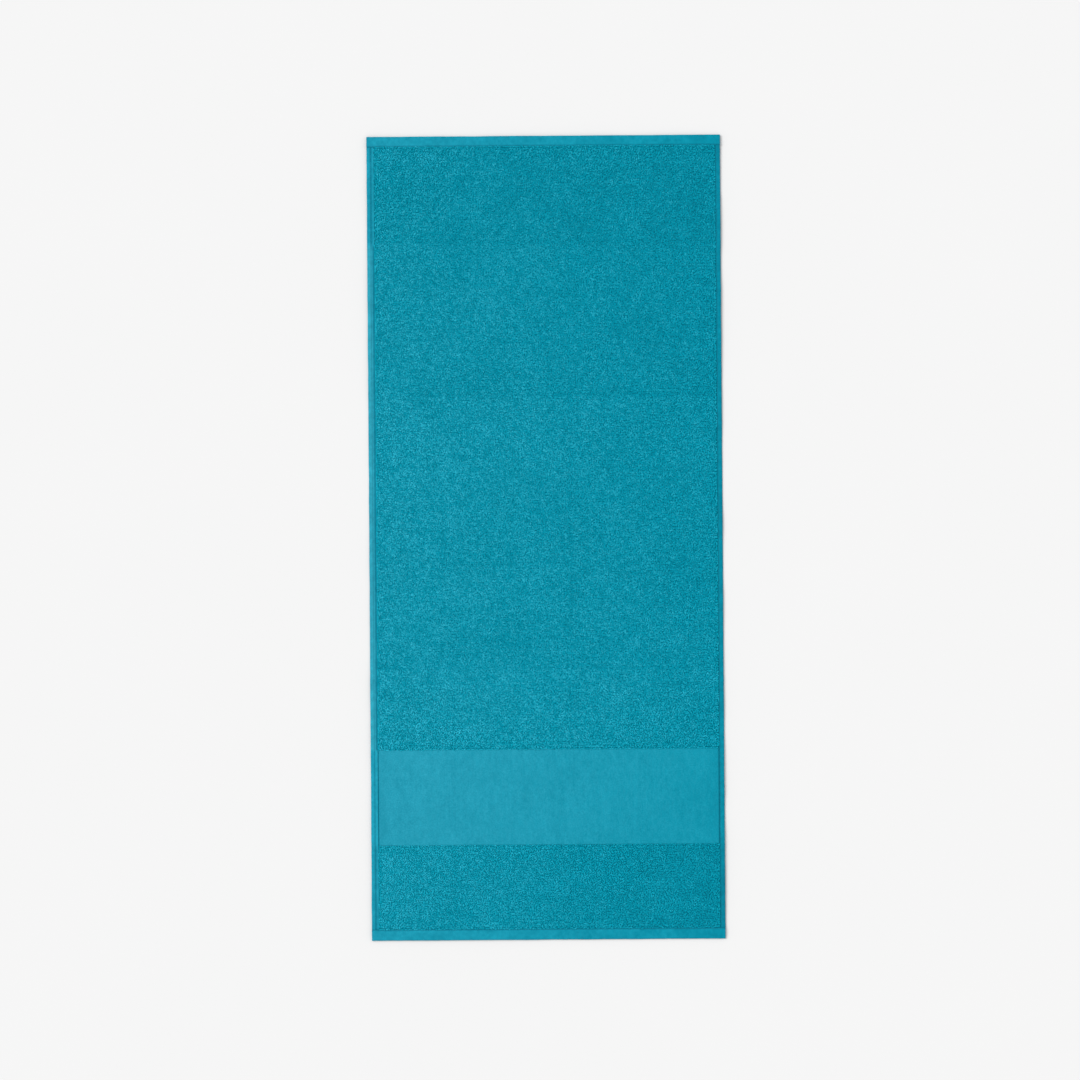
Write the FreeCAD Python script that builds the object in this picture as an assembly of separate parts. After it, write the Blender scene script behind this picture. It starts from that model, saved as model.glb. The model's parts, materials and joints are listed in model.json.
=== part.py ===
import FreeCAD, Part
import os

# Bath towel: one terry towel lying flat, front face up.
# +Z is up, +Y runs along the towel to its plain end, the flat-woven border is
# near the -Y end, and the origin is at the middle of the underside.
# All sizes are in millimetres.

# ---- driving dimensions -------------------------------------------------
WIDTH = 610.0             # finished width, hem to hem
LENGTH = 1387.0           # finished length, hem to hem

GROUND_T = 0.9            # woven ground cloth that carries the loops
LOOP_H = 1.6              # height of the terry loops on each face
TOWEL_T = GROUND_T + 2 * LOOP_H

BAND_T = 1.2              # flat-woven border, no loops
HEM_T = 3.0               # three layers of selvedge folded over

TOP_HEM_W = 18.5          # hem across the plain end
BOTTOM_HEM_W = 19.5       # hem across the border end
LEFT_HEM_W = 13.0         # hem along the -X side
RIGHT_HEM_W = 9.0         # hem along the +X side

BAND_FROM_TOP = 1058.0    # from the plain end to the near edge of the border
BAND_H = 165.0            # height of the border

FOLD_1_FROM_TOP = 446.0   # first crosswise fold
FOLD_2_FROM_TOP = 918.0   # second crosswise fold
FOLD_GAP = 0.3            # clearance between two panels at a fold
STACK_GAP = 0.6           # clearance between folded layers
WAVE = 2.4                # height of the slow waves that soft cloth lies in, which folded layers need room for

THREAD_W = 0.6            # sewing thread, as it lies on the hem
THREAD_T = 0.3
THREAD_INSET = 1.6        # seam line, from the inner edge of the end hems and the +X side hem
LEFT_THREAD_INSET = 6.0   # the -X side hem is sewn along its middle

# ---- derived --------------------------------------------------------------
X0, X1 = -WIDTH / 2, WIDTH / 2
TOP = LENGTH / 2


def y(s):
    """Height along +Y of a point s mm down from the plain end."""
    return TOP - s


XL, XR = X0 + LEFT_HEM_W, X1 - RIGHT_HEM_W      # clear cloth between the side hems
Z_G0, Z_G1 = LOOP_H, LOOP_H + GROUND_T           # ground cloth
Z_B0 = (TOWEL_T - BAND_T) / 2                    # border
Z_B1 = Z_B0 + BAND_T

FOLD_1_Z = TOWEL_T + (WAVE + STACK_GAP) / 2      # hinge line of the first fold
FOLD_2_Z = FOLD_1_Z + (TOWEL_T + STACK_GAP) / 2  # of the second, which closes over it

os.makedirs("parts", exist_ok=True)
V = FreeCAD.Vector


def slab(xa, xb, sa, sb, za, zb):
    """Flat piece between two distances from the plain end."""
    ya, yb = y(sb), y(sa)
    return Part.makeBox(xb - xa, yb - ya, zb - za, V(xa, ya, za))


def folded(point, depth, sweep):
    """Folded hem: a flat strip HEM_T thick and depth wide, its outer edge round where the cloth
    turns over, its inner edge square. point(u, z) places u mm in from the outer edge."""
    r = HEM_T / 2
    edges = [
        Part.LineSegment(point(r, 0.0), point(depth, 0.0)).toShape(),
        Part.LineSegment(point(depth, 0.0), point(depth, HEM_T)).toShape(),
        Part.LineSegment(point(depth, HEM_T), point(r, HEM_T)).toShape(),
        Part.Arc(point(r, HEM_T), point(0.0, r), point(r, 0.0)).toShape(),
    ]
    return Part.Face(Part.Wire(Part.__sortEdges__(edges))).extrude(sweep)


def side_hem(outer_x, inward, depth, sa, sb):
    """Hem along a long side. inward is +1 or -1 along X."""
    return folded(lambda u, z: V(outer_x + inward * u, y(sb), z), depth, V(0, sb - sa, 0))


def end_hem(outer_y, inward, depth, xa, xb):
    """Hem across a short end. inward is +1 or -1 along Y."""
    return folded(lambda u, z: V(xa, outer_y + inward * u, z), depth, V(xb - xa, 0, 0))


def side_thread(xc, sa, sb):
    """Seam thread along a side hem, lying on the folded cloth."""
    return slab(xc - THREAD_W / 2, xc + THREAD_W / 2, sa, sb, HEM_T, HEM_T + THREAD_T)


def end_thread(sc, xa, xb):
    return slab(xa, xb, sc - THREAD_W / 2, sc + THREAD_W / 2, HEM_T, HEM_T + THREAD_T)


def terry(name, sa, sb):
    """Ground cloth with a layer of loops on each face."""
    return {
        "ground_cloth_" + name: slab(XL, XR, sa, sb, Z_G0, Z_G1),
        "front_pile_" + name: slab(XL, XR, sa, sb, Z_G1, TOWEL_T),
        "back_pile_" + name: slab(XL, XR, sa, sb, 0.0, LOOP_H),
    }


def sides(name, sa, sb):
    """Both side hems and their seams over one panel."""
    inset = 0.5
    return {
        "left_side_hem_" + name: side_hem(X0, 1, LEFT_HEM_W, sa, sb),
        "right_side_hem_" + name: side_hem(X1, -1, RIGHT_HEM_W, sa, sb),
        "left_side_stitching_" + name: side_thread(XL - LEFT_THREAD_INSET, sa + inset, sb - inset),
        "right_side_stitching_" + name: side_thread(XR + THREAD_INSET, sa + inset, sb - inset),
    }


nodes = {}
g = FOLD_GAP / 2
S_BAND0, S_BAND1 = BAND_FROM_TOP, BAND_FROM_TOP + BAND_H
S_END = LENGTH - BOTTOM_HEM_W

# upper panel, from the plain end to the first fold
nodes["top_hem"] = end_hem(TOP, -1, TOP_HEM_W, X0, X1)
nodes["top_hem_stitching"] = end_thread(TOP_HEM_W - THREAD_INSET, X0 + 3.0, X1 - 3.0)
nodes.update(terry("upper", TOP_HEM_W, FOLD_1_FROM_TOP - g))
nodes.update(sides("upper", TOP_HEM_W, FOLD_1_FROM_TOP - g))

# middle panel, between the folds
nodes.update(terry("middle", FOLD_1_FROM_TOP + g, FOLD_2_FROM_TOP - g))
nodes.update(sides("middle", FOLD_1_FROM_TOP + g, FOLD_2_FROM_TOP - g))

# lower panel, with the border
nodes.update(terry("lower", FOLD_2_FROM_TOP + g, S_BAND0))
nodes["border_band"] = slab(XL, XR, S_BAND0, S_BAND1, Z_B0, Z_B1)
nodes.update(terry("end", S_BAND1, S_END))
nodes.update(sides("lower", FOLD_2_FROM_TOP + g, S_END))
nodes["bottom_hem"] = end_hem(y(LENGTH), 1, BOTTOM_HEM_W, X0, X1)
nodes["bottom_hem_stitching"] = end_thread(LENGTH - BOTTOM_HEM_W + THREAD_INSET, X0 + 3.0, X1 - 3.0)

total = 0.0
for name, shape in nodes.items():
    assert shape.isValid(), name
    assert len(shape.Solids) == 1, name
    total += shape.Volume
    shape.exportStep("parts/" + name + ".step")

print("nodes", len(nodes))
print("volume cm3", round(total / 1000.0, 1))
print("fold 1 at y", y(FOLD_1_FROM_TOP), "z", FOLD_1_Z)
print("fold 2 at y", y(FOLD_2_FROM_TOP), "z", FOLD_2_Z)
print("border centre y", (y(S_BAND0) + y(S_BAND1)) / 2, "z", Z_B1)
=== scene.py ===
import json
import math

import bpy
import numpy as np
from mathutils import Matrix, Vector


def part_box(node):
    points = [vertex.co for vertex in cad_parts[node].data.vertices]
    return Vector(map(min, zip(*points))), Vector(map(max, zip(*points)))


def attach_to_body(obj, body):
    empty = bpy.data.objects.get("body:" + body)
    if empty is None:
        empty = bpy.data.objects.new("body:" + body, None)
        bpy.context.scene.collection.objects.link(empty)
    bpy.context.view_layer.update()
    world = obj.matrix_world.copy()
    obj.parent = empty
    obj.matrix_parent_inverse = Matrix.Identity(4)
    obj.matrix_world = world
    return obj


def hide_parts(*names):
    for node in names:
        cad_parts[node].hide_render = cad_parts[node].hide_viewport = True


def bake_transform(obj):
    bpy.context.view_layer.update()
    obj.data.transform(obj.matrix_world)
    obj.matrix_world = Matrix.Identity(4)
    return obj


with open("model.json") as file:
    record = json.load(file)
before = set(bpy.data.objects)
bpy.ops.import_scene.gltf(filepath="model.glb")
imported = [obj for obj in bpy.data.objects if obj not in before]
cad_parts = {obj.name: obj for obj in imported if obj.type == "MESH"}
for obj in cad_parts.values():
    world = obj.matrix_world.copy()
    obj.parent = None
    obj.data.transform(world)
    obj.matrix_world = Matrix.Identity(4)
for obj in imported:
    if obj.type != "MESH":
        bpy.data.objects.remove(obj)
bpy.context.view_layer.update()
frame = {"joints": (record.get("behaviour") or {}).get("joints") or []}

# ---------------------------------------------------------------------------
# Places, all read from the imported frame. Everything below works in millimetres
# and turns into metres only when a mesh is made.
# ---------------------------------------------------------------------------
MM = 0.001


def nb(node):
    lo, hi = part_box(node)
    return np.array(lo, float) / MM, np.array(hi, float) / MM


X0, XL = nb("left_side_hem_middle")[0][0], nb("left_side_hem_middle")[1][0]
XR, X1 = nb("right_side_hem_middle")[0][0], nb("right_side_hem_middle")[1][0]
YT, Y_TH = nb("top_hem")[1][1], nb("top_hem")[0][1]
YB, Y_BH = nb("bottom_hem")[0][1], nb("bottom_hem")[1][1]
Y_BAND0, Y_BAND1 = nb("border_band")[0][1], nb("border_band")[1][1]
Z_BAND0, Z_BAND1 = nb("border_band")[0][2], nb("border_band")[1][2]
T = nb("front_pile_middle")[1][2]                       # towel thickness over the loops
G0, G1 = nb("ground_cloth_middle")[0][2], nb("ground_cloth_middle")[1][2]
ZM = T / 2                                              # middle of the cloth
HEM_T = nb("top_hem")[1][2]
LOOP_H = T - G1
SEAM = {
    "left": nb("left_side_stitching_middle"),
    "right": nb("right_side_stitching_middle"),
    "top": nb("top_hem_stitching"),
    "bottom": nb("bottom_hem_stitching"),
}
joints = {j["name"]: j for j in frame["joints"]}
FOLD1 = float(joints["upper_fold"]["pos_m"][1]) / MM
FOLD2 = float(joints["lower_fold"]["pos_m"][1]) / MM
PANEL = FOLD1 - FOLD2
YMID = (FOLD1 + FOLD2) / 2                              # where the two halves of the cloth meet
BEND1, BEND2 = 3.4, 5.4                                 # half length of cloth that turns at each fold
WAVE = 2.4                                              # height of the slow waves the cloth lies in

rng0 = np.random.default_rng(470)

# ---------------------------------------------------------------------------
# Smooth noise on a fixed lattice, so every run gives the same towel
# ---------------------------------------------------------------------------
_tables = {}


def noise(x, y, scale, seed, sy=None):
    """Value noise from -1 to 1; scale is the size of a cell in mm, sy the cell's size along Y."""
    if seed not in _tables:
        _tables[seed] = np.random.default_rng(1000 + seed).uniform(-1, 1, (257, 257))
    t = _tables[seed]
    gx = (np.asarray(x, float) + 1000.0) / scale
    gy = (np.asarray(y, float) + 1000.0) / (sy or scale)
    ix, iy = np.floor(gx).astype(int), np.floor(gy).astype(int)
    fx, fy = gx - ix, gy - iy
    fx, fy = fx * fx * (3 - 2 * fx), fy * fy * (3 - 2 * fy)
    ix, iy = ix % 256, iy % 256
    a, b = t[iy, ix], t[iy, ix + 1]
    c, d = t[iy + 1, ix], t[iy + 1, ix + 1]
    return (a * (1 - fx) + b * fx) * (1 - fy) + (c * (1 - fx) + d * fx) * fy


def step(a, b, v):
    t = np.clip((v - a) / (b - a), 0, 1)
    return t * t * (3 - 2 * t)


# ---------------------------------------------------------------------------
# The lie of the cloth: slow waves, which mirror into each other at both folds, so
# that the folded layers nest with even room between them
# ---------------------------------------------------------------------------
_w = []
for n in range(1, 11):
    for m in range(0, 10):
        amp = rng0.normal() / (1.0 + 0.20 * (n - 1) ** 1.4 + 0.20 * m ** 1.4)
        _w.append((n, m, amp, rng0.uniform(0, 2 * math.pi)))


def waves_raw(x, y):
    s = np.zeros(np.broadcast(x, y).shape)
    for n, m, amp, ph in _w:
        s = s + amp * np.cos(m * math.pi * x / 610.0 + ph) * np.sin(n * math.pi * (y - FOLD1) / PANEL)
    return s


_gx, _gy = np.meshgrid(np.linspace(X0, X1, 80), np.linspace(YB, YT, 160))
_peak = float(np.abs(waves_raw(_gx, _gy)).max())


def lift(x, y):
    """Height of the cloth's underside above the floor, 0 to WAVE."""
    w = waves_raw(x, y) / _peak
    return WAVE / 2 * (1 + np.tanh(2.0 * w) / math.tanh(2.0))


# creases pressed in by folding: (along, place, from, to, strength); a crosswise crease has a place along Y
CREASES = [
    ("x", FOLD1, X0, X1, 1.0),
    ("x", FOLD2, X0, X1, 0.8),
    ("x", YT - 183.0, X0, X1, 0.9),
    ("x", YT - 736.0, X0, X1, 0.6),
    ("y", 42.0, YT - 966.0, YT - 183.0, 0.8),
]


def crease(x, y):
    """0 away from a crease, up to 1 on it."""
    c = np.zeros(np.broadcast(x, y).shape)
    for along, place, a, b, k in CREASES:
        if along == "x":
            wob = place + 0.8 * noise(x, y * 0, 60, 31)
            c = np.maximum(c, k * np.exp(-(((y - wob) / 3.0) ** 2)))
        else:
            wob = place + 1.0 * noise(x * 0, y, 70, 32)
            ends = step(a - 15, a + 15, y) * (1 - step(b - 15, b + 15, y))
            c = np.maximum(c, k * ends * np.exp(-(((x - wob) / 3.0) ** 2)))
    return c


# the towel has been kept folded, and the pile of each folded panel lies its own way; the light it catches that way is
# painted in
# as a lighter or darker tone: (distance of the fold below the plain end, tone from there on)
PANEL_PAINTED_SHADING = [(0.0, 0.902), (183.0, 0.934), (446.0, 0.964), (736.0, 0.962), (918.0, 0.990), (1140.0, 0.922)]


def shade(x, y):
    """Slow change of tone over the terry: painted shading for the lie of each panel's pile, painted light falling off
    from the lamp's side at the left to the right, more steeply over the border and past it, and random mottling.
    """
    s = YT - y
    k = np.full(np.broadcast(x, y).shape, PANEL_PAINTED_SHADING[0][1])
    for (at, tone), (_, before) in zip(PANEL_PAINTED_SHADING[1:], PANEL_PAINTED_SHADING[:-1]):
        k = k + (tone - before) * step(at - 9, at + 9, s + 1.5 * noise(x, y, 20, 23))
    # painted light: lighter on the left, where the lamp is, darker to the right
    k = k * (1.0 - (0.040 + 0.030 * step(Y_BAND1, Y_BAND0, y)) * (x / 305.0))
    return k * (1.0 + 0.022 * noise(x, y, 75, 21) + 0.022 * noise(x, y, 28, 22) + 0.030 * noise(x, y, 11, 24))


def edge_shade(x, y):
    """The same over the hems, which are flat and smooth: painted light, lighter on the lamp's side at the left and
    darker to the right, with random mottling.
    """
    return (1.0 - 0.045 * (x / 305.0)) * (1.0 + 0.03 * noise(x, y, 40, 25) + 0.035 * noise(x, y, 12, 26) + 0.055 * noise(x, y, 4.6, 27))


def near_end(y):
    """1 where the left hem is sewn narrow, past the border and in the first stretch below the plain end, 0 between."""
    return np.maximum(step(YT - 194, YT - 180, y), 1 - step(Y_BAND0 - 2, Y_BAND0 + 2, y))


def grain(x, y, seed):
    """Strokes that the loops clump into. They run down to the right, and up to the right beyond the first crease."""
    along, across = (x - y) * 0.7071, (x + y) * 0.7071
    m = step(YT - 230, YT - 150, y)
    return noise(along, across, 5.2, seed, sy=2.9) * (1 - m) + noise(across, along, 5.2, seed + 1, sy=2.9) * m


# ---------------------------------------------------------------------------
# Mesh making
# ---------------------------------------------------------------------------
def make(name, co, faces, uv=None, tone=None, flat_from=None, mat=None, corner_uv=None):
    """co in mm (n, 3); faces (m, k) of equal corner count, or a list of such arrays. Faces from flat_from on are flat."""
    groups = faces if isinstance(faces, list) else [faces]
    me = bpy.data.meshes.new(name)
    me.vertices.add(len(co))
    me.vertices.foreach_set("co", (co * MM).astype(np.float32).ravel())
    idx = np.concatenate([g.ravel() for g in groups]).astype(np.int32)
    sizes = np.concatenate([np.full(len(g), g.shape[1]) for g in groups])
    starts = np.concatenate([[0], np.cumsum(sizes)[:-1]]).astype(np.int32)
    me.loops.add(len(idx))
    me.loops.foreach_set("vertex_index", idx)
    me.polygons.add(len(sizes))
    me.polygons.foreach_set("loop_start", starts)
    me.update(calc_edges=True)
    smooth = np.ones(len(sizes), bool)
    if flat_from is not None:
        smooth[flat_from:] = False
    me.polygons.foreach_set("use_smooth", smooth)
    layer = me.uv_layers.new(name="OFBake")
    if corner_uv is None:
        if uv is None:
            lo, hi = co[:, :2].min(0), co[:, :2].max(0)
            uv = 0.004 + 0.992 * (co[:, :2] - lo) / np.maximum(hi - lo, 1e-6)
        corner_uv = uv[idx]
    layer.uv.foreach_set("vector", np.ascontiguousarray(corner_uv, np.float32).ravel())
    at = me.attributes.new("tone", "FLOAT", "POINT")
    at.data.foreach_set("value", np.ones(len(co), np.float32) if tone is None else tone.astype(np.float32))
    at = me.attributes.new("rest", "FLOAT_VECTOR", "POINT")
    at.data.foreach_set("vector", (co * MM).astype(np.float32).ravel())
    ob = bpy.data.objects.new(name, me)
    bpy.context.scene.collection.objects.link(ob)
    if mat is not None:
        me.materials.append(mat)
    me.update()
    return ob


def grid_faces(nx, ny, base=0, flip=False):
    i, j = np.meshgrid(np.arange(nx - 1), np.arange(ny - 1))
    a = base + (j * nx + i).ravel()
    q = np.stack([a, a + 1, a + nx + 1, a + nx], 1)
    return q[:, ::-1] if flip else q


# ---------------------------------------------------------------------------
# Woven sheet: closed, two faces and an edge all round
# ---------------------------------------------------------------------------
def woven(name, xa, xb, ya, yb, pitch, half, middle, mat, tone=None):
    nx, ny = max(3, int(round((xb - xa) / pitch)) + 1), max(3, int(round((yb - ya) / pitch)) + 1)
    xs, ys = np.linspace(xa, xb, nx), np.linspace(ya, yb, ny)
    x, y = [v.ravel() for v in np.meshgrid(xs, ys)]
    zm = middle(x, y)
    h = half(x, y)
    co = np.concatenate([np.stack([x, y, zm + h], 1), np.stack([x, y, zm - h], 1)])
    n = nx * ny
    top, bottom = grid_faces(nx, ny), grid_faces(nx, ny, n, flip=True)
    ring = np.concatenate([
        np.arange(nx), (np.arange(1, ny) * nx + nx - 1),
        (ny - 1) * nx + np.arange(nx - 2, -1, -1), np.arange(ny - 2, 0, -1) * nx,
    ])
    nxt = np.roll(ring, -1)
    edge = np.stack([ring + n, nxt + n, nxt, ring], 1)
    u = np.stack([(x - xa) / (xb - xa), (y - ya) / (yb - ya)], 1)
    uv = np.concatenate([u * [0.49, 0.98] + [0.005, 0.01], u * [0.49, 0.98] + [0.505, 0.01]])
    faces = np.concatenate([top, bottom, edge])
    cuv = uv[faces.ravel()]
    edge_uv = uv[np.where(edge >= n, edge - n, edge).ravel()]
    cuv[-len(edge_uv):] = edge_uv
    tn = None if tone is None else np.tile(tone(x, y), 2)
    return make(name, co, faces, tone=tn, mat=mat, corner_uv=cuv, flat_from=len(top) + len(bottom))


# ---------------------------------------------------------------------------
# Folded hem, swept along its edge. u runs in from the outer edge, t along it.
# ---------------------------------------------------------------------------
def place(side, u, t):
    """x, y of a point u in from the outer edge of that side, t along it."""
    if side == "left":
        return X0 + u, t
    if side == "right":
        return X1 - u, t
    if side == "top":
        return t, YT - u
    return t, YB + u


def edge_wander(side, t):
    """How far the outer edge wanders, mm: a hem is never dead straight."""
    s = {"left": 41, "right": 42, "top": 43, "bottom": 44}[side]
    return 0.22 * noise(t, t * 0, 46, s) + 0.10 * noise(t, t * 0, 13, s + 10)


STITCH = 3.0                                            # length of one stitch


def seam_at(side):
    lo, hi = SEAM[side]
    c = (lo + hi) / 2
    return {"left": c[0] - X0, "right": X1 - c[0], "top": YT - c[1], "bottom": c[1] - YB}[side]


def hem_top(side, u, t, depth):
    """Height of the hem's front over its own underside: three soft layers, drawn in at the seam."""
    us = seam_at(side)
    s = {"left": 61, "right": 62, "top": 63, "bottom": 64}[side]
    z = HEM_T - 0.10 + 0.10 * noise(t, u * 0, 9.0, s) + 0.07 * noise(t, u, 3.6, s + 4)
    z = z - 0.95 * np.clip((us - 0.5 - u) / (us - 0.5), 0, 1) ** 1.6
    pull = 0.55 + 0.45 * np.cos(2 * math.pi * t / STITCH)
    z = z - (0.42 + 0.22 * pull) * np.exp(-(((u - us) / 0.95) ** 2))
    z = z - 0.75 * (1 - step(0.0, 1.5, depth - u)) ** 2
    return z


def hem(name, side, t0, t1, depth, mat):
    us = seam_at(side)
    r = HEM_T / 2
    top_u = np.unique(np.round(np.concatenate([
        np.arange(r, depth, 1.15), us + np.array([-1.5, -0.9, -0.45, 0, 0.45, 0.9, 1.5]),
        depth - np.array([0.0, 0.35, 0.8, 1.4]),
    ]), 3))
    top_u = top_u[(top_u >= r) & (top_u <= depth + 1e-6)][::-1]
    arc = np.radians(np.linspace(90, 270, 9))[1:-1]
    bot_u = np.concatenate([np.arange(r, depth, 2.3), [depth]])
    nt = int(round((t1 - t0) / 0.75)) + 1
    ts = np.linspace(t0, t1, nt)
    cols = []
    length = 0.0
    for kind, vals in (("top", top_u), ("arc", arc), ("bot", bot_u)):
        for v in vals:
            if kind == "top":
                cols.append((v, None, "top"))
            elif kind == "arc":
                cols.append((r + r * math.cos(v), r + r * math.sin(v), "arc"))
            else:
                cols.append((v, 0.0, "bot"))
    K = len(cols)
    co = np.zeros((nt, K, 3))
    for k, (u, z, kind) in enumerate(cols):
        uu = np.full(nt, float(u))
        wander = edge_wander(side, ts) * (1 - step(0, depth, uu))
        x, y = place(side, uu - wander, ts)
        base = lift(x, y)
        if kind == "top":
            zz = hem_top(side, uu, ts, depth)
        elif kind == "arc":
            k_top = hem_top(side, np.full(nt, r), ts, depth) / HEM_T
            zz = z * (k_top if z > r else 1.0) if z > r else np.full(nt, z)
        else:
            zz = 0.05 + 0.25 * np.exp(-(((uu - us) / 1.0) ** 2)) * (0.6 + 0.4 * np.cos(2 * math.pi * ts / STITCH))
        co[:, k, 0], co[:, k, 1], co[:, k, 2] = x, y, base + zz
    co = co.reshape(-1, 3)
    i, j = np.meshgrid(np.arange(K), np.arange(nt - 1))
    a = (j * K + i).ravel()
    b = (j * K + (i + 1) % K).ravel()
    quads = np.stack([a, b, b + K, a + K], 1)
    # outward faces: test one on the front
    mid = (nt // 2) * K + 1
    p, q, s_ = co[mid], co[mid + 1], co[mid + K]
    if np.cross(q - p, s_ - p)[2] < 0:
        quads = quads[:, ::-1]
    # unrolled map: v round the section, u along the edge
    sec = co.reshape(nt, K, 3)[nt // 2]
    d = np.linalg.norm(np.roll(sec, -1, 0) - sec, axis=1)
    around = np.concatenate([[0], np.cumsum(d)])
    around /= around[-1]
    along = (ts - t0) / (t1 - t0)
    corner = []
    V = np.stack([around[i.ravel()], around[i.ravel() + 1], around[i.ravel() + 1], around[i.ravel()]], 1)
    U = np.stack([along[j.ravel()], along[j.ravel()], along[j.ravel() + 1], along[j.ravel() + 1]], 1)
    if np.any(quads[:, 0] != a):
        V, U = V[:, ::-1], U[:, ::-1]
    cuv = np.stack([0.004 + 0.992 * U, 0.004 + 0.992 * V], 2).reshape(-1, 2)
    caps = [np.arange(K)[None, :], ((nt - 1) * K + np.arange(K))[None, ::-1]]
    if np.any(quads[:, 0] != a):
        caps = [c for c in caps]
    else:
        caps = [c[:, ::-1] for c in caps]
    cap_uv = np.full((2 * K, 2), 0.002)
    ur = np.concatenate([np.full(K, 0.0), np.full(K, 1.0)])
    cap_uv[:, 0] = ur * 0.996 + 0.002
    cap_uv[:, 1] = np.tile(around[:-1], 2) * 0.99 + 0.002
    x, y = co[:, 0], co[:, 1]
    u_in = {"left": x - X0, "right": X1 - x, "top": YT - y, "bottom": y - YB}[side]
    # beside the terry the pile hangs over the side hems and keeps light off them, which is painted in as shade; beside
    # the border it doesn't
    by_terry, by_end = step(Y_BAND1 - 2, Y_BAND1 + 2, y), 1 - step(Y_BAND0 - 2, Y_BAND0 + 2, y)
    if side == "left":
        by_end = near_end(y)
        by_terry = by_terry * (1 - by_end)
        # painted light: the left hem, on the lamp's side, is painted lighter than the right one, more so beside the
        # terry and darker in the end strip; painted shadow in a dark line where the pile meets it, 10.6 mm in beside
        # the terry and 7.7 mm in the end strip, with a little painted light at 11.5 mm there
        tn = 1.02 + 0.06 * by_terry - 0.12 * by_end
        tn = tn * (1 - 0.44 * by_terry * np.exp(-(((u_in - 10.6) / 1.6) ** 2)) - 0.20 * by_end * np.exp(-(((u_in - 7.7) / 1.8) ** 2))
                   + 0.09 * by_end * np.exp(-(((u_in - 11.5) / 1.6) ** 2)))
    elif side == "right":
        tn = 0.95 - 0.06 * by_terry - 0.13 * by_end
    # painted shade: the right hem, turned away from the lamp, is painted darker, more so beside the terry and in the
    # end strip
    else:
        tn = np.full(len(x), {"top": 0.955, "bottom": 0.965}[side])
    slub = 0.08 if side in ("top", "bottom") else 0.10
    tn = tn * edge_shade(x, y) * (1 + slub * noise(x, y, 4.2, 92) + 0.045 * noise(x, y, 12, 93))
    # painted shade in the seam's groove, less on the left hem beside the terry
    mark = 0.20 - 0.12 * by_terry if side == "left" else 0.20
    # painted shadow along the hem's inner edge; beside the terry and the end strip the side hems get a little painted
    # light there instead
    rim = 0.34 - 0.40 * np.maximum(by_terry, by_end) if side in ("left", "right") else 0.34
    tn = tn * (1 - mark * np.exp(-(((u_in - us) / 0.9) ** 2)) - rim * np.exp(-(((depth - u_in) / 0.8) ** 2)))
    return make(name, co, [quads] + caps, tone=tn, mat=mat, corner_uv=np.concatenate([cuv, cap_uv]), flat_from=len(quads))


# ---------------------------------------------------------------------------
# Lockstitch: separate short bars of thread on both faces of the hem
# ---------------------------------------------------------------------------
def stitches(name, side, t0, t1, depth, mat):
    us = seam_at(side)
    n = int((t1 - t0) // STITCH)
    first = math.ceil(t0 / STITCH) * STITCH
    start = first + np.arange(n) * STITCH
    start = start[start + STITCH <= t1]
    rngs = np.random.default_rng(int(abs(t0 * 7 + t1)) + len(side))
    n = len(start)
    R, S = 5, 6
    co, fc = [], []
    for face in (1, -1):
        tt = np.array([0.06, 0.22, 0.5, 0.78, 0.94])
        rise = np.array([-0.30, 0.08, 0.20, 0.08, -0.30])
        rad = np.array([0.12, 0.25, 0.28, 0.25, 0.12])
        off = rngs.normal(0, 0.06, n)
        slant = rngs.normal(0.10, 0.05, n)
        P = np.zeros((n, R, S, 3))
        for k in range(R):
            t = start + tt[k] * STITCH
            u = us + off + slant * (tt[k] - 0.5) * 2
            x, y = place(side, u, t)
            if face == 1:
                z = lift(x, y) + hem_top(side, u, t, depth) + rise[k] + 0.06
            else:
                z = lift(x, y) + 0.30 - rise[k] * 0.5
            for s in range(S):
                a = 2 * math.pi * s / S
                du, dz = rad[k] * math.cos(a), rad[k] * math.sin(a)
                px, py = place(side, u + du, t)
                P[:, k, s, 0], P[:, k, s, 1], P[:, k, s, 2] = px, py, z + dz
        base = sum(len(c) for c in co)
        co.append(P.reshape(-1, 3))
        b = base + np.arange(n)[:, None] * (R * S)
        for k in range(R - 1):
            for s in range(S):
                s2 = (s + 1) % S
                fc.append(np.concatenate([b + k * S + s, b + (k + 1) * S + s, b + (k + 1) * S + s2, b + k * S + s2], 1))
        # closed ends: two quads each
        for k, flip in ((0, False), (R - 1, True)):
            q1 = np.concatenate([b + k * S + s for s in (0, 1, 2, 3)], 1)
            q2 = np.concatenate([b + k * S + s for s in (0, 3, 4, 5)], 1)
            fc += [q1[:, ::-1] if flip else q1, q2[:, ::-1] if flip else q2]
    co, fc = np.concatenate(co), np.concatenate(fc)
    # turn faces outward: place() mirrors u on two sides
    p = co[fc[0]]
    centre = co[: R * S].mean(0)
    nrm = np.cross(p[1] - p[0], p[3] - p[0])
    if np.dot(nrm, p.mean(0) - co[:S].mean(0)) < 0:
        fc = fc[:, ::-1]
    # the thread takes the same painted light as the hems
    tn = edge_shade(co[:, 0], co[:, 1]) * 0.98
    return make(name, co, fc, tone=tn, mat=mat)


# ---------------------------------------------------------------------------
# Terry loops: each is a closed, bent length of soft pile yarn with both feet in the ground cloth, lying over
# to one side. The yarn is low twist, so it is wider than it is thick.
# ---------------------------------------------------------------------------
PITCH = {1: (2.72, 2.62), -1: (3.0, 2.95)}              # spacing across and along, front and back
LOOP_RND = {
    f: np.random.default_rng(90 + f).random((int((YT - YB) / PITCH[f][1]) + 2, int((X1 - X0) / PITCH[f][0]) + 2, 12))
    for f in (1, -1)
}

# section of the yarn as (sideways, up) in half widths and half heights
SECTION = np.array([(0.0, 1.0), (-1.0, -0.42), (1.0, -0.42)])


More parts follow.
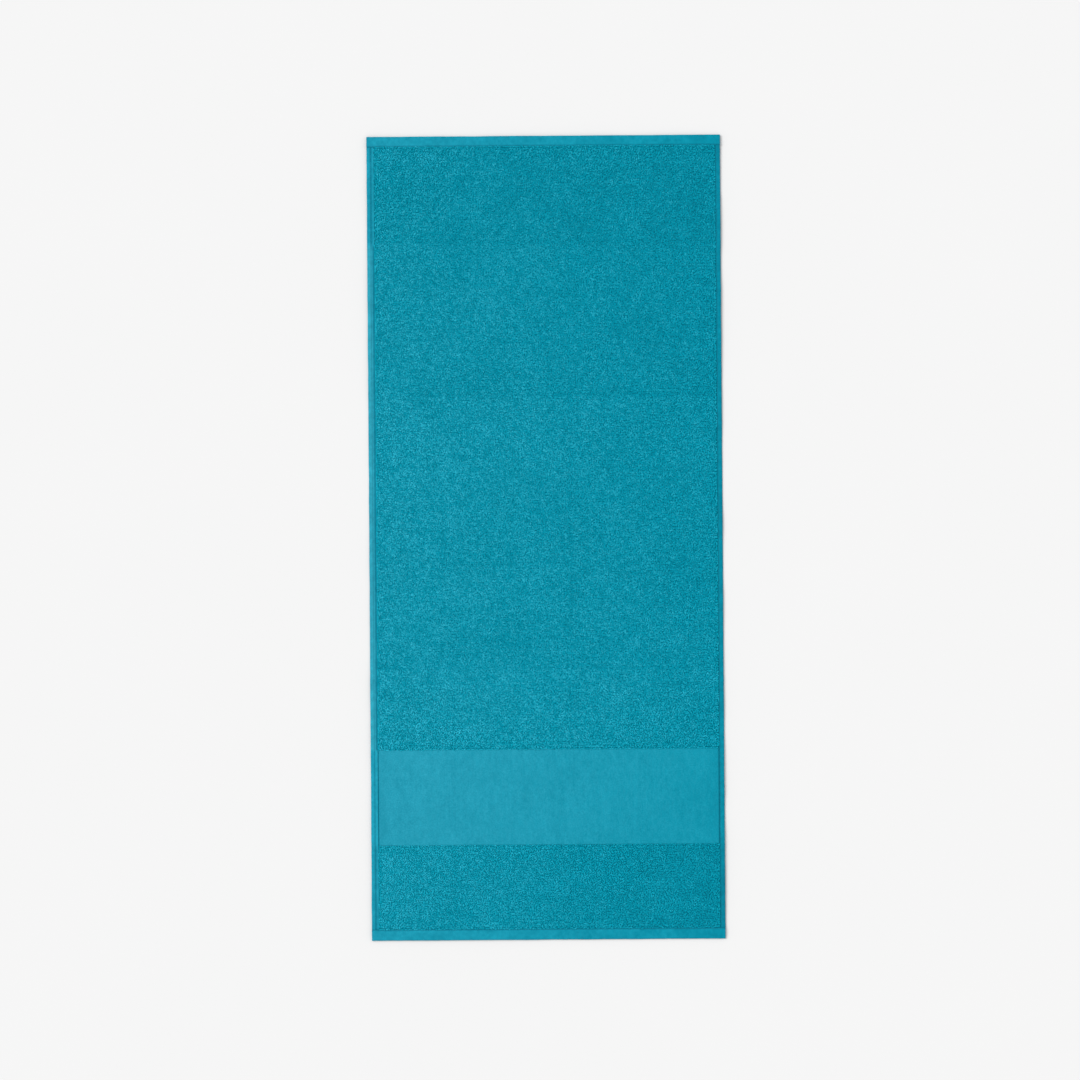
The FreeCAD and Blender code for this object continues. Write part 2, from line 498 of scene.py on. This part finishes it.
def loop_feet(xa, xb, ya, yb, face):
    """Where the loops stand between two rows. The rows are the same however the pile is cut into pieces."""
    px, py = PITCH[face]
    j0, j1 = math.ceil((ya - YB) / py), math.ceil((yb - YB) / py) - 1
    c, r = [v.ravel() for v in np.meshgrid(np.arange(LOOP_RND[face].shape[1]), np.arange(j0, j1 + 1))]
    rnd = LOOP_RND[face][r, c]
    jitter = 1.5 if face == 1 else 2.1
    x = X0 + (c + 0.5 * (r % 2) + 0.25) * px + (rnd[:, 0] - 0.5) * jitter
    y = YB + r * py + (rnd[:, 1] - 0.5) * jitter
    keep = (x > xa) & (x < xb)
    return x[keep], y[keep], rnd[keep]


def terry(name, ya, yb, face, mat, edge_lo=None, edge_hi=None):
    """Loops on one face, 1 front and -1 back, between ya and yb. edge_lo and edge_hi mark ends of the pile."""
    x, y, rnd = loop_feet(XL - 3.7, XR + 0.6, ya, yb, face)
    # how far the pile reaches over the left hem
    narrow = near_end(y)
    over = 2.5 - 3.0 * narrow if face == 1 else np.full(len(x), -0.3)
    keep = x > XL - over - 1.2
    x, y, rnd, narrow, over = x[keep], y[keep], rnd[keep], narrow[keep], over[keep]
    n = len(x)
    # the lie of the pile: it turns slowly over the cloth, with every loop a little its own way
    ang = -0.85 + 1.7 * step(YT - 230, YT - 150, y)
    ang = ang + 1.3 * noise(x, y, 36, 71 + face) + 1.2 * noise(x, y, 11, 73 + face) + (rnd[:, 2] - 0.5) * 3.4
    lean = 0.7 + 1.9 * rnd[:, 3]
    bulge = 0.85 + 0.55 * rnd[:, 4]
    feet = 0.45 + 0.40 * rnd[:, 5]
    press = crease(x, y) if face == 1 else 0.6 * crease(x, y)
    clump = 0.75 * grain(x, y, 75 + 10 * face) + 0.45 * noise(x, y, 9.5, 79 + face)
    a = (0.94 + 0.24 * rnd[:, 6]) * (1.0 if face == 1 else 1.12)
    b = 0.60 + 0.12 * rnd[:, 6]
    top = LOOP_H * (0.86 + 0.14 * clump + 0.16 * (rnd[:, 7] - 0.5) - 0.08 * (lean - 1.6)) * (1 - 0.20 * press)
    dx, dy = np.cos(ang), np.sin(ang)
    # at the ends of the pile the loops fall outward over the edge
    inner = np.ones(n)
    if edge_lo is not None:
        k = 1 - step(0, 3.4, y - edge_lo)
        dy = dy * (1 - k) - k
        inner = inner * (1 - k)
    if edge_hi is not None:
        k = 1 - step(0, 3.4, edge_hi - y)
        dy = dy * (1 - k) + k
        inner = inner * (1 - k)
    nrm = np.maximum(np.hypot(dx, dy), 1e-6)
    dx, dy = dx / nrm, dy / nrm
    # the feet stand back from the middle of the loop, so that the loops, not the feet, fill the cloth
    x = np.clip(x - 0.55 * lean * dx, XL - over + 0.9 * rnd[:, 11], XR - 0.7)
    y = y - 0.55 * lean * dy * inner
    if edge_lo is not None:
        y = np.maximum(y, edge_lo + 0.4 + 1.2 * rnd[:, 8])
    if edge_hi is not None:
        y = np.minimum(y, edge_hi - 0.4 - 1.2 * rnd[:, 8])
    lean = np.where(x > XR - 3.0, 0.7, lean)
    ex, ey = -dy, dx
    skew = (rnd[:, 9] - 0.5) * 1.5
    base = np.full(n, G1 - ZM)
    on_hem = (x < XL + 0.4) & (face == 1)
    base = np.where(on_hem, HEM_T - ZM - 0.30, base)
    top = np.where(on_hem, np.minimum(top, 1.25), top)
    apex = np.minimum(base + top, ZM) - b
    # painted shade: each loop's feet are painted dark, where they stand in the pile's shade, and its lower sides darker
    # than its top
    if face == 1:
        #        sideways, along the lean, height between foot and apex
        path = [(-1.0 * feet, 0 * lean, -0.35), (-bulge, 0.42 * lean, 0.62), (skew * 0.45, lean, 1.0),
                (bulge, 0.50 * lean, 0.66), (1.0 * feet, 0 * lean + 0.1, -0.35)]
        grow = np.array([0.70, 1.0, 1.10, 1.0, 0.70])
        shade_ring = np.array([[0.55, 0.45, 0.45], [0.98, 0.76, 0.76], [1.04, 0.80, 0.80], [0.98, 0.76, 0.76], [0.55, 0.45, 0.45]])
    else:
        path = [(-1.0 * feet, 0 * lean, -0.35), (-bulge * 0.9, 0.72 * lean, 0.84),
                (bulge * 0.9, 0.85 * lean + 0.3 * skew, 0.95), (1.0 * feet, 0 * lean + 0.1, -0.35)]
        grow = np.array([0.75, 1.06, 1.06, 0.75])
        shade_ring = np.array([[0.55, 0.45, 0.45], [1.02, 0.78, 0.78], [1.02, 0.78, 0.78], [0.55, 0.45, 0.45]])
    sec = SECTION
    rings, sides = len(path), len(sec)
    P = np.zeros((n, rings, 3))
    for k, (u, v, hgt) in enumerate(path):
        P[:, k, 0] = ex * u + dx * v
        P[:, k, 1] = ey * u + dy * v
        P[:, k, 2] = base + (apex - base) * hgt
    Tn = np.empty_like(P)
    Tn[:, 0] = P[:, 1] - P[:, 0]
    Tn[:, 1:-1] = P[:, 2:] - P[:, :-2]
    Tn[:, -1] = P[:, -1] - P[:, -2]
    Tn /= np.linalg.norm(Tn, axis=2, keepdims=True)
    S = np.cross(Tn, np.array([0, 0, 1.0]))
    S /= np.maximum(np.linalg.norm(S, axis=2, keepdims=True), 1e-6)
    N = np.cross(S, Tn)
    aa, bb = a[:, None, None, None] * grow[None, :, None, None], b[:, None, None, None] * grow[None, :, None, None]
    co = P[:, :, None, :] + aa * sec[None, None, :, 0, None] * S[:, :, None, :] + bb * sec[None, None, :, 1, None] * N[:, :, None, :]
    co[..., 2] = face * np.minimum(co[..., 2], ZM - 0.01) + ZM
    co[..., 0] += x[:, None, None]
    co[..., 1] += y[:, None, None]
    if face == 1:
        # along the left seam the loops stop in one line, a little ragged
        reach = co[..., 0].min((1, 2))
        co[..., 0] += ((1 - narrow) * np.maximum(0.0, X0 + 11.3 + 0.9 * rnd[:, 10] - reach))[:, None, None]
    co = co.reshape(-1, 3)
    co[:, 2] += lift(co[:, 0], co[:, 1])
    first = (np.arange(n) * rings * sides)[:, None]
    quads = []
    for s in range(rings - 1):
        for j in range(sides):
            j2 = (j + 1) % sides
            quads.append(first + np.array([s * sides + j, (s + 1) * sides + j, (s + 1) * sides + j2, s * sides + j2]))
    caps = [first + np.arange(sides)[::-1], first + (rings - 1) * sides + np.arange(sides)]
    quads = np.stack(quads, 1).reshape(-1, 4)
    caps = np.stack(caps, 1).reshape(-1, sides)
    # the first loop's volume tells which way its faces point
    tri = np.concatenate([quads[: (rings - 1) * sides, [0, 1, 2]], quads[: (rings - 1) * sides, [0, 2, 3]]])
    vol = np.einsum("ij,ij->i", co[tri[:, 0]] - co[0], np.cross(co[tri[:, 1]] - co[0], co[tri[:, 2]] - co[0])).sum()
    if vol < 0:
        quads, caps = quads[:, ::-1], caps[:, ::-1]
    own = 0.16 * (rnd[:, 9] + rnd[:, 10] + rnd[:, 11] - 1.5) + 0.12 * grain(x, y, 75 + 10 * face) + 0.03 * clump
    own = np.exp(own * (1 - 0.13 * x / 305.0) * (0.80 if yb < Y_BAND1 else 1.0))
    # painted shade in the pressed creases
    own = own * (1 - 0.06 * press)
    tn = (shade_ring[None] * own[:, None, None]).ravel() * shade(co[:, 0], co[:, 1])
    if face == 1:
        # the pile is thin and painted in shade where it falls against the left hem; in the end strip it is painted
        # darker 15 mm in and lighter 12 mm in; just above the border it is painted in shade, as the pile's edge there
        # faces away from the lamp
        u = co[:, 0] - X0
        k = near_end(co[:, 1])
        beside = (1 - k) * (0.36 * np.exp(-(((u - 11.2) / 2.0) ** 2)) + 0.03 * np.exp(-(((u - 14.2) / 1.9) ** 2)))
        beside = beside + k * (0.17 * np.exp(-(((u - 14.8) / 1.6) ** 2)) - 0.16 * np.exp(-(((u - 11.8) / 1.7) ** 2)))
        tn = tn * (1 - beside)
        if ya > Y_BAND0:
            tn = tn * (1 - 0.045 * np.exp(-(((co[:, 1] - Y_BAND1 - 4.0) / 9.0) ** 2)))
    return make(name, co, [quads, caps], tone=tn, mat=mat)


# ---------------------------------------------------------------------------
# Materials
# ---------------------------------------------------------------------------
class Nodes:
    def __init__(self, name):
        self.mat = bpy.data.materials.new(name)
        self.mat.use_nodes = True
        self.nt = self.mat.node_tree
        self.nt.nodes.clear()
        self.out = self.add("ShaderNodeOutputMaterial")
        self.p = self.add("ShaderNodeBsdfPrincipled")
        self.link(self.p, "BSDF", self.out, "Surface")

    def add(self, kind, **sets):
        n = self.nt.nodes.new(kind)
        for k, v in sets.items():
            setattr(n, k, v)
        return n

    def link(self, a, sa, b, sb):
        self.nt.links.new(a.outputs[sa], b.inputs[sb])

    def attr(self, name):
        return self.add("ShaderNodeAttribute", attribute_name=name)

    def math(self, op, a, b=None, c=None):
        n = self.add("ShaderNodeMath", operation=op)
        for i, v in enumerate((a, b, c)):
            if v is None:
                continue
            if isinstance(v, (int, float)):
                n.inputs[i].default_value = v
            else:
                self.nt.links.new(v, n.inputs[i])
        return n.outputs[0]

    def scaled(self, vec, s):
        n = self.add("ShaderNodeVectorMath", operation="MULTIPLY")
        self.nt.links.new(vec, n.inputs[0])
        n.inputs[1].default_value = s
        return n.outputs[0]

    def noise(self, vec, scale, detail=2.0, rough=0.5):
        n = self.add("ShaderNodeTexNoise")
        n.inputs["Scale"].default_value = scale
        n.inputs["Detail"].default_value = detail
        n.inputs["Roughness"].default_value = rough
        self.nt.links.new(vec, n.inputs["Vector"])
        return n.outputs["Fac"]

    def wave(self, vec, scale, axis, distortion=0.0, detail_scale=1.0):
        n = self.add("ShaderNodeTexWave", wave_type="BANDS", bands_direction=axis, wave_profile="SIN")
        n.inputs["Scale"].default_value = scale
        n.inputs["Distortion"].default_value = distortion
        n.inputs["Detail"].default_value = 1.0
        n.inputs["Detail Scale"].default_value = detail_scale
        self.nt.links.new(vec, n.inputs["Vector"])
        return n.outputs["Fac"]

    def ramp(self, v, lo, hi, a=0.0, b=1.0):
        n = self.add("ShaderNodeMapRange")
        n.inputs["From Min"].default_value = lo
        n.inputs["From Max"].default_value = hi
        n.inputs["To Min"].default_value = a
        n.inputs["To Max"].default_value = b
        self.nt.links.new(v, n.inputs["Value"])
        return n.outputs["Result"]

    def painted_light_side(self, rest):
        """0 at the towel's right edge, 1 at its left: painted light, mixing towards the light colour on the lamp's
        side.
        """
        sep = self.add("ShaderNodeSeparateXYZ")
        self.nt.links.new(rest, sep.inputs[0])
        return self.ramp(sep.outputs["X"], 0.305, -0.305)

    def painted_lit_edge(self, rest):
        """1 on the left hem beside the long stretch of terry, where the lamp lights the edge and a paler painted
        highlight is added, 0 elsewhere.
        """
        sep = self.add("ShaderNodeSeparateXYZ")
        self.nt.links.new(rest, sep.inputs[0])
        across = self.ramp(sep.outputs["X"], (X0 + 12) * MM, (X0 + 6) * MM)
        along = self.math("MULTIPLY", self.ramp(sep.outputs["Y"], (Y_BAND1 - 3) * MM, (Y_BAND1 + 3) * MM),
                          self.ramp(sep.outputs["Y"], (YT - 180) * MM, (YT - 194) * MM))
        return self.math("MULTIPLY", across, along)

    def tint(self, dark, light, fac, gain, painted_sheen_by=0.12, ref=1.0, extra=None):
        """Colour between dark and light by fac, times gain, into Base Color."""
        m = self.add("ShaderNodeMix", data_type="RGBA")
        m.inputs["A"].default_value = (*dark, 1)
        m.inputs["B"].default_value = (*light, 1)
        # the colour sockets of a Mix node are found by type
        for s in m.inputs:
            if s.type == "RGBA":
                s.default_value = (*(dark if s.name == "A" else light), 1)
        self.nt.links.new(fac, m.inputs["Factor"])
        col = next(o for o in m.outputs if o.type == "RGBA")
        v = self.add("ShaderNodeVectorMath", operation="SCALE")
        self.nt.links.new(col, v.inputs[0])
        self.nt.links.new(gain, v.inputs["Scale"])
        # painted sheen: where the gain is higher the colour is paler too, less blue gained and a little red, as a white
        # sheen adds; where it is lower, the reverse
        pale = self.add("ShaderNodeVectorMath", operation="SCALE")
        pale.inputs[0].default_value = (painted_sheen_by * light[1], 0.0, -0.11 * light[1])
        self.nt.links.new(self.math("SUBTRACT", gain, ref), pale.inputs["Scale"])
        total = self.add("ShaderNodeVectorMath", operation="ADD")
        self.nt.links.new(v.outputs[0], total.inputs[0])
        self.nt.links.new(pale.outputs[0], total.inputs[1])
        if extra is not None:
            more = self.add("ShaderNodeVectorMath", operation="SCALE")
            more.inputs[0].default_value = extra[1]
            self.nt.links.new(extra[0], more.inputs["Scale"])
            both = self.add("ShaderNodeVectorMath", operation="ADD")
            self.nt.links.new(total.outputs[0], both.inputs[0])
            self.nt.links.new(more.outputs[0], both.inputs[1])
            total = both
        floor_ = self.add("ShaderNodeVectorMath", operation="MAXIMUM")
        self.nt.links.new(total.outputs[0], floor_.inputs[0])
        floor_.inputs[1].default_value = (0.0002, 0.01, 0.014)
        self.nt.links.new(floor_.outputs[0], self.p.inputs["Base Color"])

    def bump(self, height, distance_m, strength=1.0):
        n = self.add("ShaderNodeBump")
        n.inputs["Strength"].default_value = strength
        n.inputs["Distance"].default_value = distance_m
        self.nt.links.new(height, n.inputs["Height"])
        self.nt.links.new(n.outputs[0], self.p.inputs["Normal"])

    def finish(self, spec, sheen, sheen_rough, sheen_tint):
        self.p.inputs["Specular IOR Level"].default_value = spec
        self.p.inputs["Sheen Weight"].default_value = sheen
        self.p.inputs["Sheen Roughness"].default_value = sheen_rough
        self.p.inputs["Sheen Tint"].default_value = (*sheen_tint, 1)
        self.p.inputs["Metallic"].default_value = 0.0
        return self.mat


TINT = (0.35, 0.85, 1.0)


def cotton_loops():
    m = Nodes("terry_loops")
    rest, tone = m.attr("rest").outputs["Vector"], m.attr("tone").outputs["Fac"]
    clump = m.noise(rest, 330.0, 3.0, 0.6)
    fibre = m.noise(m.scaled(rest, (1, 1, 1)), 2600.0, 2.0, 0.6)
    # painted light: the colour runs lighter towards the left, mixed with random clumps
    fac = m.math("MULTIPLY_ADD", m.painted_light_side(rest), 0.6, m.math("MULTIPLY", m.ramp(clump, 0.30, 0.70), 0.4))
    gain = m.math("MULTIPLY", tone, m.ramp(fibre, 0.25, 0.75, 0.90, 1.10))
    m.tint((0.0004, 0.338, 0.460), (0.0062, 0.356, 0.480), fac, gain, 0.17, 0.87)
    m.nt.links.new(m.ramp(clump, 0.3, 0.7, 0.96, 0.86), m.p.inputs["Roughness"])
    m.bump(fibre, 0.00012, 0.8)
    return m.finish(0.02, 0.03, 0.55, TINT)


def woven_cloth(name, dark, light, period, spec, sheen, rough, streak=0.0, depth=0.00008, grain=0.05, painted_sheen_by=0.10, lit_edge_highlight=None):
    """Plain weave: warp along Y and weft along X, with slubs and fine streaks along the warp."""
    m = Nodes(name)
    rest, tone = m.attr("rest").outputs["Vector"], m.attr("tone").outputs["Fac"]
    k = 1.0 / (period * MM) / 20.0 * 2 * math.pi
    warp = m.wave(rest, k, "X", 0.6, 2.0)
    weft = m.wave(rest, k, "Y", 0.6, 2.0)
    weave = m.math("ADD", m.math("MULTIPLY", warp, 0.5), m.math("MULTIPLY", weft, 0.5))
    slub = m.noise(m.scaled(rest, (1, 0.22, 1)), 420.0, 3.0, 0.6)
    fine = m.noise(rest, 480.0, 3.0, 0.7)
    lines = m.noise(m.scaled(rest, (1, 0.035, 1)), 300.0, 2.0, 0.55)
    gain = m.math("MULTIPLY", tone, m.ramp(fine, 0.25, 0.75, 1 - grain, 1 + grain))
    gain = m.math("MULTIPLY", gain, m.ramp(lines, 0.3, 0.7, 1 - streak, 1 + streak))
    gain = m.math("MULTIPLY", gain, m.ramp(weave, 0.0, 1.0, 0.95, 1.04))
    # painted light: the colour runs lighter towards the left, mixed with random slubs
    m.tint(dark, light, m.math("MULTIPLY_ADD", m.painted_light_side(rest), 0.7, m.math("MULTIPLY", m.ramp(slub, 0.3, 0.7), 0.3)), gain, painted_sheen_by,
           extra=None if lit_edge_highlight is None else (m.painted_lit_edge(rest), lit_edge_highlight))
    m.nt.links.new(m.ramp(slub, 0.3, 0.7, rough + 0.06, rough - 0.06), m.p.inputs["Roughness"])
    h = m.math("ADD", weave, m.math("MULTIPLY", fine, 0.6))
    m.bump(h, depth, 0.8)
    return m.finish(spec, sheen, 0.5, TINT)


M_LOOP = cotton_loops()
# the ground cloth is the same dyed cotton as the loops, painted darker for the shade that lies between them
M_GROUND = woven_cloth("ground_weave", (0.0008, 0.150, 0.212), (0.003, 0.170, 0.240), 1.3, 0.0, 0.0, 0.92, depth=0.0002, grain=0.10)
M_BAND = woven_cloth("border_weave", (0.0005, 0.208, 0.290), (0.0125, 0.224, 0.313), 0.9, 0.08, 0.03, 0.80, streak=0.020, depth=0.00006, grain=0.190)
# the left hem beside the terry gets a paler painted highlight on its lit edge
M_HEM = woven_cloth("hem_weave", (0.0000, 0.205, 0.287), (0.0085, 0.222, 0.312), 1.0, 0.05, 0.03, 0.85, streak=0.0, depth=0.00009, grain=0.10, painted_sheen_by=0.05,
                     lit_edge_highlight=(0.0085, -0.0045, -0.017))
M_THREAD = woven_cloth("sewing_thread", (0.002, 0.205, 0.290), (0.0085, 0.230, 0.325), 0.5, 0.20, 0.03, 0.60, depth=0.00004)

# ---------------------------------------------------------------------------
# Pieces
# ---------------------------------------------------------------------------
HALF_G = (G1 - G0) / 2


def ground_middle(x, y):
    return ZM + lift(x, y)


def ground_half(x, y):
    return np.full(x.shape, HALF_G)


def ground_tone(x, y):
    # the same painted light and pile shading as over the terry
    return shade(x, y)


def crossing(ob, which):
    if which == 1:
        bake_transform(ob)
    else:
        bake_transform(ob)
    return ob


def attach(ob, ya, yb):
    """Rides on the panel that holds it; a piece across a fold is left without a parent, its placement baked into its
    mesh.
    """
    if ya < FOLD1 + BEND1 and yb > FOLD1 - BEND1:
        crossing(ob, 1)
    elif ya < FOLD2 + BEND2 and yb > FOLD2 - BEND2:
        crossing(ob, 2)
    elif ya >= FOLD1:
        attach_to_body(ob, "upper_panel")
    elif yb <= FOLD2:
        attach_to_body(ob, "lower_panel")
    else:
        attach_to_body(ob, "middle_panel")
    return ob


# ground cloth, in two halves that meet in the middle panel, and the strip past the border
g_upper = attach(woven("ground_cloth_upper_half", XL, XR, YMID, Y_TH, 3.0, ground_half, ground_middle, M_GROUND, ground_tone), YMID, Y_TH)
g_lower = attach(woven("ground_cloth_lower_half", XL, XR, Y_BAND1, YMID, 3.0, ground_half, ground_middle, M_GROUND, ground_tone), Y_BAND1, YMID)
g_end = attach(woven("ground_cloth_end_strip", XL, XR, Y_BH, Y_BAND0, 3.0, ground_half, ground_middle, M_GROUND, ground_tone), Y_BH, Y_BAND0)
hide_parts("ground_cloth_upper", "ground_cloth_middle")
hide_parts("ground_cloth_lower")
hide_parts("ground_cloth_end")

# border: a thinner flat weave that settles a little lower than the terry, faintly rippled along the warp
BAND_H2 = (Z_BAND1 - Z_BAND0) / 2


def band_edge(x, y):
    """0 at the border's rim, 1 well inside it."""
    dx = np.minimum(x - XL, XR - x)
    dy = np.minimum(y - Y_BAND0, Y_BAND1 - y)
    return dx, dy


def band_middle(x, y):
    dx, dy = band_edge(x, y)
    inside = step(0, 26, dy) * step(0, 14, dx)
    ripple = (0.14 * noise(x, y, 17, 81, sy=90) + 0.08 * noise(x, y, 7, 82, sy=40) + 0.05 * noise(x, y, 3.2, 83, sy=20)
              + 0.10 * noise(x, y, 40, 84))
    z = ZM + lift(x, y) - 0.35 * inside + ripple * step(0, 8, dy) * step(0, 6, dx)
    z = z - 0.50 * np.exp(-((dx / 1.0) ** 2))
    return z


def band_half(x, y):
    return np.full(x.shape, BAND_H2)


def band_tone(x, y):
    dx, dy = band_edge(x, y)
    # painted light: lighter on the left, where the lamp is, darker to the right
    k = 1.0 - 0.034 * (x / 305.0)
    k = k * (1 + 0.026 * noise(x, y, 26, 85, sy=50) + 0.028 * noise(x, y, 9, 86, sy=22) + 0.012 * noise(x, y, 50, 87)
             + 0.048 * noise(x, y, 5.0, 88, sy=7.5))
    # painted shadow in the groove along the side hems, and a little darker within about 15 mm of them
    k = k * (1 - 0.34 * np.exp(-((dx / 1.3) ** 2))) * (1 - 0.065 * np.exp(-((dx / 15.0) ** 2)))
    k = k * (1 + 0.025 * step(60, 0, Y_BAND1 - y))
    return k


band = attach(woven("border_band_cloth", XL, XR, Y_BAND0, Y_BAND1, 1.5, band_half, band_middle, M_BAND, band_tone), Y_BAND0, Y_BAND1)
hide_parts("border_band")

# loops on both faces, cut into pieces across the towel
cuts_upper = [Y_TH, 596.0, 518.0, 440.0, 350.0, FOLD1 + 14.0, FOLD1 - 14.0, 160.0, 86.0, YMID]
cuts_lower = [YMID, -64.0, -136.0, FOLD2 + 15.0, FOLD2 - 15.0, -302.0, Y_BAND1]
loops = {"upper": [], "lower": [], "end": []}
for face, word in ((1, "front"), (-1, "back")):
    for part, cuts in (("upper", cuts_upper), ("lower", cuts_lower), ("end", [Y_BAND0, -600.0, Y_BH])):
        for k in range(len(cuts) - 1):
            yb_, ya_ = cuts[k], cuts[k + 1]
            ob = terry(
                f"{word}_loops_{part}_{k + 1}", ya_, yb_, face, M_LOOP,
                edge_lo=ya_ if ya_ in (Y_BAND1, Y_BH) else None,
                edge_hi=yb_ if yb_ in (Y_TH, Y_BAND0) else None,
            )
            attach(ob, ya_, yb_)
            loops[part].append(ob)
            if part == "upper" and k == 0:
                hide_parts(f"{word}_pile_upper")
            if part == "upper" and k == len(cuts) - 2:
                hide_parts(f"{word}_pile_middle")
            if part == "lower" and k == len(cuts) - 2:
                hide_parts(f"{word}_pile_lower")
            if part == "end":
                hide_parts(f"{word}_pile_end")

# hems and their seams
trim = {"upper": [], "lower": [], "end": []}
for side, depth in (("left", XL - X0), ("right", X1 - XR)):
    for part, ya_, yb_ in (("upper", YMID, Y_TH), ("lower", Y_BH, YMID)):
        h = attach(hem(f"{side}_hem_{part}_half", side, ya_, yb_, depth, M_HEM), ya_, yb_)
        s = attach(stitches(f"{side}_seam_{part}_half", side, ya_ + 0.6, yb_ - 0.6, depth, M_THREAD), ya_, yb_)
        if part == "upper":
            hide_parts(f"{side}_side_hem_upper", f"{side}_side_hem_middle")
            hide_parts(f"{side}_side_stitching_upper", f"{side}_side_stitching_middle")
        else:
            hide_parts(f"{side}_side_hem_lower")
            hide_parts(f"{side}_side_stitching_lower")
        trim[part] += [h, s]
for side, depth, ya_, yb_ in (("top", YT - Y_TH, Y_TH, YT), ("bottom", Y_BH - YB, YB, Y_BH)):
    h = attach(hem(f"{side}_hem_folded", side, X0, X1, depth, M_HEM), ya_, yb_)
    s = attach(stitches(f"{side}_seam", side, X0 + 4, X1 - 4, depth, M_THREAD), ya_, yb_)
    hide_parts(f"{side}_hem")
    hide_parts(f"{side}_hem_stitching")
    trim["upper" if side == "top" else "end"] += [h, s]

# ---------------------------------------------------------------------------
# Floor, light and camera
# ---------------------------------------------------------------------------
scene = bpy.context.scene
scene.view_settings.view_transform = "Standard"
scene.view_settings.look = "None"
scene.view_settings.exposure = 0.0
scene.view_settings.gamma = 1.0

bpy.ops.mesh.primitive_circle_add(vertices=96, radius=60.0, fill_type="NGON", location=(0, 0, -0.0002))
floor = bpy.context.object
floor.name = "floor"
fm = Nodes("floor_pale")
fn = fm.noise(fm.add("ShaderNodeTexCoord").outputs["Object"], 3.0, 2.0)
fm.tint((0.617, 0.617, 0.617), (0.623, 0.623, 0.623), fn, fm.ramp(fn, 0, 1, 1.0, 1.0))
fm.p.inputs["Roughness"].default_value = 0.95
fm.p.inputs["Specular IOR Level"].default_value = 0.0
floor.data.materials.append(fm.mat)

AMBIENT = 0.93
world = bpy.data.worlds.new("studio")
scene.world = world
world.use_nodes = True
bg = world.node_tree.nodes["Background"]
bg.inputs["Color"].default_value = (1, 1, 1, 1)
bg.inputs["Strength"].default_value = AMBIENT

key = bpy.data.lights.new("key", "SUN")
key.angle = math.radians(40)
key.energy = 2.36
key_ob = bpy.data.objects.new("key", key)
scene.collection.objects.link(key_ob)
# from the upper left of the picture, 48 degrees above the floor
from mathutils import Vector
d = Vector((-0.80, 0.42, 1.0)).normalized()
key_ob.rotation_mode = "QUATERNION"
key_ob.rotation_quaternion = d.to_track_quat("Z", "Y")
key_ob.location = d * 6

# camera straight above, turned by 0.4 degrees, with a long lens
PX = 1.7248                                             # millimetres of floor per pixel of the picture
cam = bpy.data.cameras.new("camera")
cam.lens, cam.sensor_width = 100.0, 36.0
cam_ob = bpy.data.objects.new("camera", cam)
scene.collection.objects.link(cam_ob)
dist = 1080 * PX * MM / (cam.sensor_width / cam.lens)
turn = math.radians(-0.405)
ox, oy = -5.98 * PX, -2.26 * PX
cx = ox * math.cos(turn) - oy * math.sin(turn)
cy = ox * math.sin(turn) + oy * math.cos(turn)
cam_ob.location = (cx * MM, cy * MM, dist + 0.004)
cam_ob.rotation_euler = (0, 0, turn)
cam.clip_start, cam.clip_end = 0.1, 200
scene.camera = cam_ob
